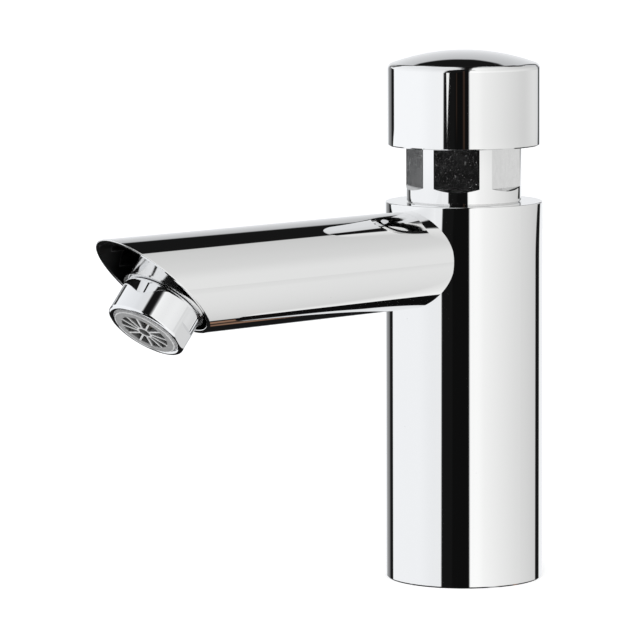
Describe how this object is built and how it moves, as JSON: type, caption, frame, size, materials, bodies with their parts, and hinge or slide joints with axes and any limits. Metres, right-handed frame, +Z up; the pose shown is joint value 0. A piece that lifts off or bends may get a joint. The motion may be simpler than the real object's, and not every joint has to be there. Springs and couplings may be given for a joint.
{
  "type": "push timed tap",
  "caption": "Round pillar tap with a horizontal spout, a slanted mouth holding a tilted aerator, and a domed push cap that works a self-closing cartridge.",
  "frame": {"origin": "centre of the inlet's mouth in the foot, on the deck plane", "axes": "+Z up along the column, -Y along the spout towards the user, +X to the right seen from the front"},
  "size_m": [0.05, 0.1741, 0.1685],
  "materials": {
    "chrome": "mirror-polished chrome plate",
    "brass": "turned brass",
    "steel": "stainless steel, drawn or stamped",
    "grey_plastic": "satin moulded grey plastic",
    "white_plastic": "satin moulded white plastic",
    "rubber": "moulded sealing rubber"
  },
  "bodies": {
    "tap_body": {"aerator_housing": "chrome", "aerator_insert": "grey_plastic", "aerator_mesh": "steel", "aerator_washer": "rubber", "base_gasket": "rubber", "bonnet": "chrome", "bonnet_o_ring": "rubber", "cartridge_sleeve": "white_plastic", "column_body": "chrome", "flow_regulator": "white_plastic", "foot_o_ring": "rubber", "foot_plug": "brass", "guide_bush": "white_plastic", "inlet_strainer": "steel", "regulator_o_ring": "rubber", "return_spring": "steel", "seat_o_ring": "rubber", "sleeve_o_rings": "rubber", "spout_nozzle": "chrome", "spout_tube": "chrome", "stem_o_rings": "rubber", "stop_bumper": "rubber", "valve_seat": "brass", "wiper_seal": "rubber"},
    "plunger": {"stem": "steel", "piston": "brass", "piston_seal": "rubber", "timing_jet": "brass", "piston_clip": "steel", "valve_washer": "rubber", "valve_holder": "brass", "valve_nut": "steel", "cap_carrier": "brass"},
    "cap": {"push_cap": "chrome", "retaining_ring": "steel"}
  },
  "joints": [
    {"name": "button_push", "type": "slide", "parent": "tap_body", "child": "plunger", "axis": [0, 0, 1], "range_m": [-0.007, 0], "stiffness_N_per_m": 1500, "springref_m": 0.012, "deforming": ["return_spring"]},
    {"name": "cap_turn", "type": "hinge", "parent": "plunger", "child": "cap", "pos_m": [0, 0, 0.155], "axis": [0, 0, 1], "continuous": true}
  ]
}
